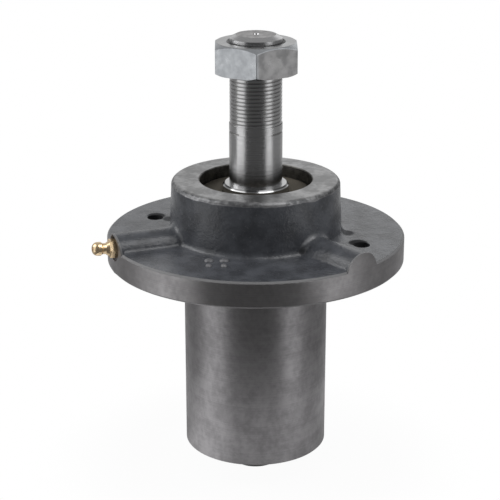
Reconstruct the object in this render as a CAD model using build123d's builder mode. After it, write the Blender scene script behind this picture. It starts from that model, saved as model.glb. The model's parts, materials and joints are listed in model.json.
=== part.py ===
from build123d import *
import os
from math import cos, hypot, radians, sin, sqrt, tan

# Mower-deck spindle: a cast flanged housing carries a shaft on two taper roller bearings.
# Millimetres. The origin is the centre of the flange's underside, +Z runs up the shaft to the nut.

os.makedirs("parts", exist_ok=True)

# Housing casting
flange_radius = 71.9
flange_thickness = 12.7
flange_top_break = 1.0
flange_bottom_break = 1.0
turning_allowance = 2.0
tube_radius = 34.925
tube_length = 96.2
tube_end_chamfer = 0.4
hub_height = 26.7
hub_top_radius = 40.5
hub_draft = 2.5
hub_edge_round = 2.4
foot_fillet = 3.0
mouth_chamfer = 0.4
cavity_radius = 21.5

# Half-round bosses on the flange: the first carries the grease fitting, the second is blank
boss_radius = 9.525
boss_axis_height = 10.3
fitting_boss_angle = 202.0
blank_boss_angle = 312.8

# Tapped holes that take the deck bolts
bolt_circle_radius = 54.2
bolt_hole_radius = 3.97
bolt_hole_count = 2
bolt_hole_angle = 157.5

# Shaft
shaft_radius = 12.7
shaft_top = 109.2
shaft_bottom = -109.0
shaft_end_chamfer = 1.4
thread_radius = 12.45
thread_start = 67.0
thread_end_chamfer = 3.0
thread_end_angle = 27.0
groove_depth = 0.35
groove_width = 0.9
groove_below_thread = 3.3
collar_radius = 15.875
collar_length = 11.8
collar_chamfer = 0.8
centre_drill_radius = 1.6
centre_drill_angle = 30.0
blade_bolt_radius = 7.35
blade_bolt_depth = 38.0
drill_point_angle = 59.0
shaft_fit = 0.03

# Jam nut
nut_across_flats = 38.1
nut_thickness = 14.3
nut_bottom = 91.6
nut_top_chamfer_radius = 18.6
nut_bottom_chamfer_radius = 19.9
nut_chamfer_angle = 30.0
nut_corner_angle = 31.0
nut_corner_round = 0.4
nut_bore_fit = 0.04
nut_countersink = 1.5

# Taper roller bearing, the same at both ends
cup_radius = 25.146
cup_width = 10.668
cone_width = 14.732
bearing_width = 14.224
bearing_chamfer = 0.8
cup_race_angle = 14.0
cone_race_angle = 10.0
pitch_radius = 19.05
roller_length = 9.6
roller_count = 14
race_clearance = 0.08
rib_clearance = 0.12
large_rib_height = 1.6
small_rib_height = 0.8
cage_offset = 1.2
cage_thickness = 0.9
cage_end_ring = 1.3
pocket_clearance = 0.15
seat_clearance = 0.06

# Lip seals
seal_radius = 26.9875
seal_width = 6.35
upper_seal_recess = 6.0
lower_seal_recess = 1.5
seal_to_cone_gap = 0.6
case_wall = 1.2
case_web_gap = 3.1
face_rubber = 1.0
face_margin = 0.4
lip_clearance = 0.05
lip_root_gap = 1.5
dust_lip_gap = 0.25
dust_lip_depth = 0.5
neck_gap = 1.1
neck_top_depth = 1.4
neck_bottom_depth = 2.6
main_lip_depth = 4.2
lip_end_gap = 0.8
lip_end_depth = 5.4
lip_head_thickness = 2.0
lip_shoulder_depth = 3.2
garter_wire_radius = 0.65
garter_groove_depth = 0.4
garter_play = 0.05

# Sleeves on the shaft
sleeve_below_hub_top = 1.8
sleeve_chamfer = 1.0
spacer_radius = 16.0

# Grease fitting and its drilled passage
fitting_height = 12.9
fitting_tilt = 5.0
spot_face_radius = 6.2
spot_face_depth = 1.6
fitting_hole_radius = 2.75
fitting_hole_depth = 8.0
passage_radius = 1.6
fitting_fit = 0.05
shank_length = 6.0
shank_chamfer = 0.5
fitting_hex = 7.94
fitting_hex_height = 4.2
fitting_hex_chamfer = 0.5
neck_radius = 2.6
neck_start = 5.6
neck_end = 7.2
head_radius = 3.25
head_start = 8.0
head_end = 9.4
fitting_length = 11.8
fitting_tip_radius = 1.75
valve_bore_radius = 1.3
valve_mouth_radius = 0.85
valve_mouth_depth = 0.9
feed_bore_radius = 0.75
spring_seat = 3.2
ball_radius = 1.18
ball_clearance = 0.03
spring_wire_radius = 0.17
spring_coil_radius = 0.85
spring_turns = 4

# Levels and radii that follow from the sizes above
hub_top = flange_thickness + hub_height
tube_bottom = -tube_length
hub_foot_radius = hub_top_radius + hub_height * tan(radians(hub_draft))
seal_bore_radius = seal_radius + seat_clearance
cup_bore_radius = cup_radius + seat_clearance
fit_bore_radius = shaft_radius + shaft_fit
nut_bore_radius = thread_radius + nut_bore_fit
upper_seal_top = hub_top - upper_seal_recess
upper_seal_bottom = upper_seal_top - seal_width
upper_cone_top = upper_seal_bottom - seal_to_cone_gap
upper_cone_bottom = upper_cone_top - cone_width
upper_ledge = upper_cone_top - bearing_width
lower_seal_top = tube_bottom + lower_seal_recess + seal_width
lower_cone_bottom = lower_seal_top + seal_to_cone_gap
lower_cone_top = lower_cone_bottom + cone_width
lower_ledge = lower_cone_bottom + bearing_width
stack_middle = Plane.XY.offset((upper_ledge + lower_ledge) / 2)

# Bearing cone: both races and every roller's axis meet in one apex on the shaft's axis
roller_axis_angle = radians((cup_race_angle + cone_race_angle) / 2)
roller_slope = tan(radians((cup_race_angle - cone_race_angle) / 2))
apex_distance = pitch_radius / sin(roller_axis_angle)
apex_height = upper_ledge + cup_width / 2 - apex_distance * cos(roller_axis_angle)
roller_near = apex_distance - roller_length / 2
roller_far = apex_distance + roller_length / 2

# Grease fitting frame: it stands on the spot face and points out of the boss, a little upwards
fitting_out = Vector(cos(radians(fitting_boss_angle)), sin(radians(fitting_boss_angle)), 0)
fitting_side = Vector(-fitting_out.Y, fitting_out.X, 0)
fitting_axis = fitting_out * cos(radians(fitting_tilt)) + Vector(0, 0, sin(radians(fitting_tilt)))
fitting_seat = fitting_out * (flange_radius - spot_face_depth) + Vector(0, 0, fitting_height)
fitting_plane = Plane(origin=fitting_seat, x_dir=fitting_side, z_dir=fitting_axis)
fitting_section = Plane(origin=fitting_seat, x_dir=fitting_side, z_dir=fitting_side.cross(fitting_axis))
fitting_centre_line = Axis(fitting_seat, fitting_axis)
passage_length = (flange_radius - cavity_radius) / cos(radians(fitting_tilt))


def on_roller_axis(distance, offset):
    """Point (r, z) at a distance from the apex along a roller's axis, offset square to it, outwards."""
    r = distance * sin(roller_axis_angle) + offset * cos(roller_axis_angle)
    z = apex_height + distance * cos(roller_axis_angle) - offset * sin(roller_axis_angle)
    return (r, z)


def on_cone_race(distance, rise=0):
    """Point (r, z) on the cone's race at a distance along the roller's axis, or above the race by a rise."""
    return on_roller_axis(distance, rise - distance * roller_slope)


def cup_race_radius(z):
    """Radius of the cup's race at a height."""
    return (z - apex_height) * tan(radians(cup_race_angle))


def roller_frames():
    """One plane for each roller, square to its axis at its small end."""
    r, z = on_roller_axis(roller_near, 0)
    frames = []
    for number in range(roller_count):
        turn = radians(360 * number / roller_count)
        out = Vector(cos(turn), sin(turn), 0)
        lean = out * sin(roller_axis_angle) + Vector(0, 0, cos(roller_axis_angle))
        frames.append(Plane(origin=out * r + Vector(0, 0, z), z_dir=lean))
    return frames


def rises_from_flange(edge):
    """True for an edge where a boss or the hub rises from the flange's top."""
    box = edge.bounding_box()
    inside_rim = min(hypot(v.X, v.Y) for v in edge.vertices()) < flange_radius - 2 * flange_top_break
    low = box.min.Z > flange_thickness - flange_top_break / 2
    return inside_rim and low and box.max.Z < hub_top - hub_edge_round


with BuildPart() as spindle_housing:
    # Round casting, with a turning allowance on the flange's rim
    with BuildSketch(Plane.XZ):
        with BuildLine():
            Polyline(
                (0, tube_bottom),
                (tube_radius - tube_end_chamfer, tube_bottom),
                (tube_radius, tube_bottom + tube_end_chamfer),
                (tube_radius, 0),
                (flange_radius - flange_bottom_break, 0),
                (flange_radius + turning_allowance, flange_bottom_break + turning_allowance),
                (flange_radius + turning_allowance, flange_thickness - flange_top_break - turning_allowance),
                (flange_radius - flange_top_break, flange_thickness),
                (hub_foot_radius, flange_thickness),
                (hub_top_radius, hub_top),
                (0, hub_top),
                close=True,
            )
        make_face()
    revolve(axis=Axis.Z)

    # Half-round bosses, then the rim and the boss ends are turned together
    for boss_angle in (fitting_boss_angle, blank_boss_angle):
        boss_out = Vector(cos(radians(boss_angle)), sin(radians(boss_angle)), 0)
        with BuildSketch(Plane(origin=(0, 0, boss_axis_height), z_dir=boss_out)):
            Circle(boss_radius)
        extrude(amount=flange_radius + 2 * turning_allowance)
    with BuildSketch(Plane.XY.offset(tube_bottom)):
        Circle(flange_radius)
    extrude(amount=hub_top - tube_bottom, mode=Mode.INTERSECT)

    # Cast fillets at the foot of the bosses and the hub, and the hub's rounded top edge
    fillet(spindle_housing.edges().filter_by(rises_from_flange), foot_fillet)
    fillet(spindle_housing.edges().filter_by(GeomType.CIRCLE).sort_by(Axis.Z)[-1], hub_edge_round)

    # Bores: seal seat, cup seat and grease cavity, from the tube's end to the hub's top
    with BuildSketch(Plane.XZ):
        with BuildLine():
            Polyline(
                (0, tube_bottom),
                (seal_bore_radius + mouth_chamfer, tube_bottom),
                (seal_bore_radius, tube_bottom + mouth_chamfer),
                (seal_bore_radius, lower_seal_top),
                (cup_bore_radius, lower_seal_top),
                (cup_bore_radius, lower_ledge),
                (cavity_radius, lower_ledge),
                (cavity_radius, upper_ledge),
                (cup_bore_radius, upper_ledge),
                (cup_bore_radius, upper_seal_bottom),
                (seal_bore_radius, upper_seal_bottom),
                (seal_bore_radius, hub_top - mouth_chamfer),
                (seal_bore_radius + mouth_chamfer, hub_top),
                (0, hub_top),
                close=True,
            )
        make_face()
    revolve(axis=Axis.Z, mode=Mode.SUBTRACT)

    # Spot face, tapped hole and drilled passage for the grease fitting
    with BuildSketch(fitting_plane):
        Circle(spot_face_radius)
    extrude(amount=2 * spot_face_depth, mode=Mode.SUBTRACT)
    with BuildSketch(fitting_plane):
        Circle(fitting_hole_radius)
    extrude(amount=-fitting_hole_depth, mode=Mode.SUBTRACT)
    with BuildSketch(fitting_plane):
        Circle(passage_radius)
    extrude(amount=-passage_length, mode=Mode.SUBTRACT)

    # Tapped holes for the deck bolts
    with BuildSketch():
        with PolarLocations(bolt_circle_radius, bolt_hole_count, start_angle=bolt_hole_angle):
            Circle(bolt_hole_radius)
    extrude(amount=flange_thickness, mode=Mode.SUBTRACT)

with BuildPart() as spindle_shaft:
    collar_bottom = lower_cone_bottom - collar_length
    groove_top = thread_start - groove_below_thread
    thread_end = shaft_top - thread_end_chamfer * tan(radians(thread_end_angle))
    with BuildSketch(Plane.XZ):
        with BuildLine():
            Polyline(
                (0, shaft_bottom),
                (shaft_radius - shaft_end_chamfer, shaft_bottom),
                (shaft_radius, shaft_bottom + shaft_end_chamfer),
                (shaft_radius, collar_bottom),
                (collar_radius - collar_chamfer, collar_bottom),
                (collar_radius, collar_bottom + collar_chamfer),
                (collar_radius, lower_cone_bottom),
                (shaft_radius, lower_cone_bottom),
                (shaft_radius, groove_top - groove_width),
                (shaft_radius - groove_depth, groove_top - groove_width),
                (shaft_radius - groove_depth, groove_top),
                (shaft_radius, groove_top),
                (shaft_radius, thread_start),
                (thread_radius, thread_start + shaft_radius - thread_radius),
                (thread_radius, thread_end),
                (thread_radius - thread_end_chamfer, shaft_top),
                (0, shaft_top),
                close=True,
            )
        make_face()
    revolve(axis=Axis.Z)
    # Centre drilling in the upper end, tapped blade-bolt hole with its drill point in the lower end
    with BuildSketch(Plane.XZ):
        with BuildLine():
            Polyline(
                (0, shaft_top),
                (centre_drill_radius, shaft_top),
                (0, shaft_top - centre_drill_radius / tan(radians(centre_drill_angle))),
                close=True,
            )
        make_face()
        with BuildLine():
            Polyline(
                (0, shaft_bottom),
                (blade_bolt_radius, shaft_bottom),
                (blade_bolt_radius, shaft_bottom + blade_bolt_depth),
                (0, shaft_bottom + blade_bolt_depth + blade_bolt_radius / tan(radians(drill_point_angle))),
                close=True,
            )
        make_face()
    revolve(axis=Axis.Z, mode=Mode.SUBTRACT)

with BuildPart() as spindle_nut:
    nut_top = nut_bottom + nut_thickness
    nut_reach = nut_across_flats
    chamfer_slope = tan(radians(nut_chamfer_angle))
    with BuildSketch(Plane.XY.offset(nut_bottom)):
        RegularPolygon(nut_across_flats / 2, 6, major_radius=False, rotation=nut_corner_angle)
    extrude(amount=nut_thickness)
    fillet(spindle_nut.edges().filter_by(Axis.Z), nut_corner_round)
    # Both faces are turned to a chamfer that cuts the corners back
    for face_height, chamfer_radius, slope in (
        (nut_bottom, nut_bottom_chamfer_radius, chamfer_slope),
        (nut_top, nut_top_chamfer_radius, -chamfer_slope),
    ):
        with BuildSketch(Plane.XZ):
            with BuildLine():
                Polyline(
                    (chamfer_radius, face_height),
                    (nut_reach, face_height + (nut_reach - chamfer_radius) * slope),
                    (nut_reach, face_height),
                    close=True,
                )
            make_face()
        revolve(axis=Axis.Z, mode=Mode.SUBTRACT)
    # Bore and its countersinks
    with BuildSketch(Plane.XZ):
        with BuildLine():
            Polyline(
                (0, nut_bottom),
                (nut_bore_radius + nut_countersink, nut_bottom),
                (nut_bore_radius, nut_bottom + nut_countersink),
                (nut_bore_radius, nut_top - nut_countersink),
                (nut_bore_radius + nut_countersink, nut_top),
                (0, nut_top),
                close=True,
            )
        make_face()
    revolve(axis=Axis.Z, mode=Mode.SUBTRACT)

with BuildPart() as upper_bearing_cup:
    cup_top = upper_ledge + cup_width
    with BuildSketch(Plane.XZ):
        with BuildLine():
            Polyline(
                (cup_race_radius(upper_ledge), upper_ledge),
                (cup_radius - bearing_chamfer, upper_ledge),
                (cup_radius, upper_ledge + bearing_chamfer),
                (cup_radius, cup_top),
                (cup_race_radius(cup_top), cup_top),
                close=True,
            )
        make_face()
    revolve(axis=Axis.Z)

with BuildPart() as upper_bearing_cone:
    rib_foot = on_cone_race(roller_far + rib_clearance)
    rib_crest = on_cone_race(roller_far + rib_clearance, large_rib_height)
    small_rib_foot = on_cone_race(roller_near - rib_clearance)
    small_rib_crest = on_cone_race(roller_near - rib_clearance, small_rib_height)
    with BuildSketch(Plane.XZ):
        with BuildLine():
            Polyline(
                (fit_bore_radius, upper_cone_bottom),
                (small_rib_crest[0], upper_cone_bottom),
                small_rib_crest,
                small_rib_foot,
                rib_foot,
                rib_crest,
                (rib_crest[0], upper_cone_top - bearing_chamfer),
                (rib_crest[0] - bearing_chamfer, upper_cone_top),
                (fit_bore_radius, upper_cone_top),
                close=True,
            )
        make_face()
    revolve(axis=Axis.Z)

with BuildPart() as upper_bearing_rollers:
    with Locations(*roller_frames()):
        Cone(
            roller_near * roller_slope - race_clearance,
            roller_far * roller_slope - race_clearance,
            roller_length,
            align=(Align.CENTER, Align.CENTER, Align.MIN),
        )

with BuildPart() as upper_bearing_cage:
    with BuildSketch(Plane.XZ):
        with BuildLine():
            Polyline(
                on_roller_axis(roller_near - cage_end_ring, cage_offset),
                on_roller_axis(roller_near - cage_end_ring, cage_offset + cage_thickness),
                on_roller_axis(roller_far + cage_end_ring, cage_offset + cage_thickness),
                on_roller_axis(roller_far + cage_end_ring, cage_offset),
                close=True,
            )
        make_face()
    revolve(axis=Axis.Z)
    # Each pocket is the roller's own form with clearance all round
    with Locations(*[frame.offset(-pocket_clearance) for frame in roller_frames()]):
        Cone(
            roller_near * roller_slope + pocket_clearance,
            roller_far * roller_slope + pocket_clearance,
            roller_length + 2 * pocket_clearance,
            align=(Align.CENTER, Align.CENTER, Align.MIN),
            mode=Mode.SUBTRACT,
        )

with BuildPart() as bearing_spacer:
    with BuildSketch(Plane.XY.offset(lower_cone_top)):
        Circle(spacer_radius)
        Circle(fit_bore_radius, mode=Mode.SUBTRACT)
    extrude(amount=upper_cone_bottom - lower_cone_top)

with BuildPart() as upper_seal_sleeve:
    sleeve_top = hub_top - sleeve_below_hub_top
    with BuildSketch(Plane.XZ):
        with BuildLine():
            Polyline(
                (fit_bore_radius, upper_cone_top),
                (collar_radius, upper_cone_top),
                (collar_radius, sleeve_top - sleeve_chamfer),
                (collar_radius - sleeve_chamfer, sleeve_top),
                (fit_bore_radius, sleeve_top),
                close=True,
            )
        make_face()
    revolve(axis=Axis.Z)

# Lip seal: the line that the lip runs on, the steel case's face and the garter spring's centre
seal_line = collar_radius + lip_clearance
case_top = upper_seal_top - face_rubber
case_web_radius = seal_line + case_web_gap
garter_height = upper_seal_top - main_lip_depth
garter_coil_radius = seal_line + lip_head_thickness + garter_wire_radius + garter_play - garter_groove_depth

with BuildPart() as upper_seal_case:
    with BuildSketch(Plane.XZ):
        with BuildLine():
            Polyline(
                (seal_radius, upper_seal_bottom),
                (seal_radius, case_top),
                (case_web_radius, case_top),
                (case_web_radius, case_top - case_wall),
                (seal_radius - case_wall, case_top - case_wall),
                (seal_radius - case_wall, upper_seal_bottom),
                close=True,
            )
        make_face()
    revolve(axis=Axis.Z)

with BuildPart() as upper_seal_lip:
    with BuildSketch(Plane.XZ):
        with BuildLine():
            Polyline(
                (seal_radius - face_margin, case_top),
                (seal_radius - face_margin, upper_seal_top),
                (seal_line + lip_root_gap, upper_seal_top),
                (seal_line + dust_lip_gap, upper_seal_top - dust_lip_depth),
                (seal_line + neck_gap, upper_seal_top - neck_top_depth),
                (seal_line + neck_gap, upper_seal_top - neck_bottom_depth),
                (seal_line, upper_seal_top - main_lip_depth),
                (seal_line + lip_end_gap, upper_seal_top - lip_end_depth),
                (seal_line + lip_head_thickness, upper_seal_top - lip_end_depth),
                (seal_line + lip_head_thickness, upper_seal_top - lip_shoulder_depth),
                (case_web_radius, case_top - case_wall),
                (case_web_radius, case_top),
                close=True,
            )
        make_face()
        with Locations((garter_coil_radius, garter_height)):
            Circle(garter_wire_radius + garter_play, mode=Mode.SUBTRACT)
    revolve(axis=Axis.Z)

with BuildPart() as upper_seal_spring:
    with BuildSketch(Plane.XZ):
        with Locations((garter_coil_radius, garter_height)):
            Circle(garter_wire_radius)
    revolve(axis=Axis.Z)

# The lower bearing and seal are the upper ones turned over
with BuildPart() as lower_bearing_cup:
    mirror(upper_bearing_cup.part, about=stack_middle)

with BuildPart() as lower_bearing_cone:
    mirror(upper_bearing_cone.part, about=stack_middle)

with BuildPart() as lower_bearing_rollers:
    mirror(upper_bearing_rollers.part, about=stack_middle)

with BuildPart() as lower_bearing_cage:
    mirror(upper_bearing_cage.part, about=stack_middle)

with BuildPart() as lower_seal_case:
    mirror(upper_seal_case.part, about=stack_middle)

with BuildPart() as lower_seal_lip:
    mirror(upper_seal_lip.part, about=stack_middle)

with BuildPart() as lower_seal_spring:
    mirror(upper_seal_spring.part, about=stack_middle)

with BuildPart() as grease_fitting_body:
    shank_radius = fitting_hole_radius - fitting_fit
    seat_end = fitting_length - valve_mouth_depth
    seat_start = seat_end - (valve_bore_radius - valve_mouth_radius)
    # Hexagon, with the edges of its outer face chamfered
    with BuildSketch(fitting_plane):
        RegularPolygon(fitting_hex / 2, 6, major_radius=False)
    extrude(amount=fitting_hex_height)
    chamfer(grease_fitting_body.faces().sort_by(fitting_centre_line)[-1].edges(), fitting_hex_chamfer)
    # Shank below the hexagon, neck and head above it
    with BuildSketch(fitting_section):
        with BuildLine():
            Polyline(
                (head_radius, head_end),
                (head_radius, head_start),
                (neck_radius, neck_end),
                (neck_radius, neck_start),
                (fitting_hex / 2 - fitting_hex_chamfer, fitting_hex_height),
                (shank_radius, 0),
                (shank_radius, shank_chamfer - shank_length),
                (shank_radius - shank_chamfer, -shank_length),
                (0, -shank_length),
                (0, fitting_length),
                (fitting_tip_radius, fitting_length),
            )
            TangentArc((head_radius, head_end), (fitting_tip_radius, fitting_length), tangent=(0, 1))
        make_face()
    revolve(axis=fitting_centre_line)
    # Feed bore, spring chamber, ball seat and mouth
    with BuildSketch(fitting_section):
        with BuildLine():
            Polyline(
                (0, -shank_length),
                (feed_bore_radius, -shank_length),
                (feed_bore_radius, spring_seat),
                (valve_bore_radius, spring_seat),
                (valve_bore_radius, seat_start),
                (valve_mouth_radius, seat_end),
                (valve_mouth_radius, fitting_length),
                (0, fitting_length),
                close=True,
            )
        make_face()
    revolve(axis=fitting_centre_line, mode=Mode.SUBTRACT)

# The ball bears on the seat's cone, and the spring's last coil bears on the ball
ball_height = valve_bore_radius + seat_start - sqrt(2) * (ball_radius + ball_clearance)
coil_reach = sqrt((ball_radius + spring_wire_radius) ** 2 - spring_coil_radius**2)
spring_bottom = spring_seat + spring_wire_radius
spring_height = ball_height - coil_reach - spring_bottom

with BuildPart() as grease_fitting_ball:
    with Locations(fitting_plane.offset(ball_height)):
        Sphere(ball_radius)

with BuildPart() as grease_fitting_spring:
    with BuildLine() as coil:
        Helix(
            pitch=spring_height / spring_turns,
            height=spring_height,
            radius=spring_coil_radius,
            center=fitting_plane.offset(spring_bottom).origin,
            direction=fitting_axis,
        )
    with BuildSketch(Plane(origin=coil.line @ 0, z_dir=coil.line % 0)):
        Circle(spring_wire_radius)
    sweep(path=coil.line, is_frenet=True)

pieces = {
    "spindle_housing": spindle_housing,
    "spindle_shaft": spindle_shaft,
    "spindle_nut": spindle_nut,
    "upper_bearing_cup": upper_bearing_cup,
    "upper_bearing_cone": upper_bearing_cone,
    "upper_bearing_rollers": upper_bearing_rollers,
    "upper_bearing_cage": upper_bearing_cage,
    "lower_bearing_cup": lower_bearing_cup,
    "lower_bearing_cone": lower_bearing_cone,
    "lower_bearing_rollers": lower_bearing_rollers,
    "lower_bearing_cage": lower_bearing_cage,
    "bearing_spacer": bearing_spacer,
    "upper_seal_sleeve": upper_seal_sleeve,
    "upper_seal_case": upper_seal_case,
    "upper_seal_lip": upper_seal_lip,
    "upper_seal_spring": upper_seal_spring,
    "lower_seal_case": lower_seal_case,
    "lower_seal_lip": lower_seal_lip,
    "lower_seal_spring": lower_seal_spring,
    "grease_fitting_body": grease_fitting_body,
    "grease_fitting_ball": grease_fitting_ball,
    "grease_fitting_spring": grease_fitting_spring,
}

for name, piece in pieces.items():
    piece.part.label = name
    export_step(piece.part, f"parts/{name}.step")
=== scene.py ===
"""Studio scene of a mower-deck spindle: housing, threaded shaft, nut, bearings, seals and grease fitting.

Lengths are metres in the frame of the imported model: the origin is the centre of the flange's underside and
+Z runs up the shaft to the nut. Sizes in the classes are in millimetres, but the studio's are in metres.
"""

from __future__ import annotations

import json
import logging
import math
from collections.abc import Iterable
from dataclasses import dataclass
from enum import IntEnum

import bpy
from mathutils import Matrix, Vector

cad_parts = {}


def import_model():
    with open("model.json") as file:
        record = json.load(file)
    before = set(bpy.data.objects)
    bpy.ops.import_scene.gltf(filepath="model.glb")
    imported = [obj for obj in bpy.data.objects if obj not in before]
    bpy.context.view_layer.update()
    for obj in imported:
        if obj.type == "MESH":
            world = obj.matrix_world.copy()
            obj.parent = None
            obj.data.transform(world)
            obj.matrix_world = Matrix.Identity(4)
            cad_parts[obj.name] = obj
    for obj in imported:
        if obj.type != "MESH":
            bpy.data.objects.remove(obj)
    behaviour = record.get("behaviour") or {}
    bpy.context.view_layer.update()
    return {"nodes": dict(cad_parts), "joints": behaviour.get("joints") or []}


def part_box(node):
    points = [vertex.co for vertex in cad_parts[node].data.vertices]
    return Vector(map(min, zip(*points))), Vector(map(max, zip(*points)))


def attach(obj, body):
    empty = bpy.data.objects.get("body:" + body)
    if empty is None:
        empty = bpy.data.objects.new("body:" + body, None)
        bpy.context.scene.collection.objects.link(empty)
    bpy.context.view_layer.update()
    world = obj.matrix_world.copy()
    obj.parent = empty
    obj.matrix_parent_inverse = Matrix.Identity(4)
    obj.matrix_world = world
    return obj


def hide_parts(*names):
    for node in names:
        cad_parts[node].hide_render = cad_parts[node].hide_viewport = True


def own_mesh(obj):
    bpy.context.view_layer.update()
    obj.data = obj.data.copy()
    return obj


log = logging.getLogger("spindle")

MM = 0.001
WHITE = (1.0, 1.0, 1.0, 1.0)
CLOUD_SPREAD = (0.3, 0.7)
BALL_CORE = 0.6

Colour = tuple[float, float, float]
Place = tuple[float, float, float]
Span = tuple[float, float]
Profile = list[tuple[float, float]]
Value = float | bpy.types.NodeSocket
Tone = tuple[float, float, float, float] | bpy.types.NodeSocket


class Graph:
    """Adds nodes to one node tree and links them."""

    def __init__(self, tree: bpy.types.NodeTree) -> None:
        """Wraps a tree.

        Args:
            tree: The shader tree that the nodes go into.
        """
        self.tree = tree

    def add(self, kind: str, values: dict | None = None, **settings: object) -> bpy.types.Node:
        """Adds a node, sets its properties and fills its inputs.

        Args:
            kind: The node's type name.
            values: Input name or number to a plain value or to an output socket.
            settings: The node's own properties.

        Returns:
            The new node.
        """
        node = self.tree.nodes.new(kind)
        for name, value in settings.items():
            setattr(node, name, value)
        for key, value in (values or {}).items():
            if isinstance(value, bpy.types.NodeSocket):
                self.tree.links.new(value, node.inputs[key])
            else:
                node.inputs[key].default_value = value
        return node

    def effect(self, tree: bpy.types.NodeTree, values: dict | None = None) -> bpy.types.NodeOutputs:
        """Places a shared group.

        Args:
            tree: The group.
            values: Its inputs, as for add.

        Returns:
            The group's outputs.
        """
        return self.add("ShaderNodeGroup", values, node_tree=tree).outputs

    def place(self) -> bpy.types.NodeSocket:
        """Gives the point's place on the object."""
        return self.add("ShaderNodeTexCoord").outputs["Object"]

    def flat(self) -> bpy.types.NodeSocket:
        """Gives the point's place on the object, with its height left out."""
        values = {0: self.place(), 1: (1, 1, 0)}
        return self.add("ShaderNodeVectorMath", values, operation="MULTIPLY").outputs[0]

    def along(self, place: bpy.types.NodeSocket, axis: Place | Vector) -> bpy.types.NodeSocket:
        """Measures a place along an axis.

        Args:
            place: The place.
            axis: The axis, of length 1.

        Returns:
            The distance along the axis.
        """
        node = self.add("ShaderNodeVectorMath", {0: place, 1: axis}, operation="DOT_PRODUCT")
        return node.outputs["Value"]

    def math(self, operation: str, first: Value, second: Value = 0.0) -> bpy.types.NodeSocket:
        """Works out one sum.

        Args:
            operation: The Math node's operation.
            first: First value or socket.
            second: Second value or socket.

        Returns:
            The result's socket.
        """
        return self.add("ShaderNodeMath", {0: first, 1: second}, operation=operation).outputs[0]

    def times(self, first: Value, *others: Value) -> Value:
        """Multiplies masks and numbers.

        Args:
            first: First factor.
            others: The other factors.

        Returns:
            The product.
        """
        for other in others:
            first = self.math("MULTIPLY", first, other)
        return first

    def most(self, first: Value, *others: Value) -> Value:
        """Keeps the highest of some masks.

        Args:
            first: First mask.
            others: The other masks.

        Returns:
            The highest.
        """
        for other in others:
            first = self.math("MAXIMUM", first, other)
        return first

    def step(self, value: Value, low: float, high: float) -> bpy.types.NodeSocket:
        """Rises smoothly from 0 at low to 1 at high, or falls when low is above high.

        Args:
            value: The socket that is measured.
            low: Where the step is still 0.
            high: Where the step has reached 1.

        Returns:
            The step's socket.
        """
        values = {"Value": value, "From Min": low, "From Max": high}
        return self.add("ShaderNodeMapRange", values, interpolation_type="SMOOTHSTEP").outputs[0]

    def edge(self, value: Value, at: float, span: Span) -> bpy.types.NodeSocket:
        """Steps across a place, from one offset to the other."""
        return self.step(value, at + span[0], at + span[1])

    def near(self, centre: Place, reach: float) -> bpy.types.NodeSocket:
        """Marks a ball round a point.

        Args:
            centre: The point, in millimetres.
            reach: The ball's radius, in millimetres.

        Returns:
            1 in the ball's core, falling to 0 at its edge.
        """
        values = {0: self.place(), 1: tuple(value * MM for value in centre)}
        gap = self.add("ShaderNodeVectorMath", values, operation="DISTANCE").outputs["Value"]
        return self.step(gap, reach * MM, BALL_CORE * reach * MM)

    def blend(self, factor: Value, first: Tone, second: Tone) -> bpy.types.NodeSocket:
        """Mixes two colours.

        Args:
            factor: 0 for the first colour, 1 for the second.
            first: First colour or socket.
            second: Second colour or socket.

        Returns:
            The mixed colour's socket.
        """
        # A mix node has sockets for every kind of value: 2 and 3 take numbers, 6 and 7 take colours
        values = {0: factor, 6: first, 7: second}
        return self.add("ShaderNodeMix", values, data_type="RGBA").outputs[2]

    def two_tone(self, factor: Value, shade: Colour, colour: Colour) -> bpy.types.NodeSocket:
        """Mixes a shade and a full colour."""
        return self.blend(factor, rgba(shade), rgba(colour))

    def between(self, factor: Value, first: Value, second: Value) -> bpy.types.NodeSocket:
        """Mixes two numbers.

        Args:
            factor: 0 for the first number, 1 for the second.
            first: First number or socket.
            second: Second number or socket.

        Returns:
            The mixed number's socket.
        """
        values = {0: factor, 2: first, 3: second}
        return self.add("ShaderNodeMix", values, data_type="FLOAT").outputs[0]

    def bump(self, height: Value) -> bpy.types.NodeSocket:
        """Turns a height in millimetres into a bumped normal."""
        return self.add("ShaderNodeBump", {"Height": height, "Distance": MM, "Strength": 1.0}).outputs[0]


def rgba(colour: Colour) -> tuple[float, float, float, float]:
    """Gives a colour its full alpha."""
    return (*colour, 1.0)


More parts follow.
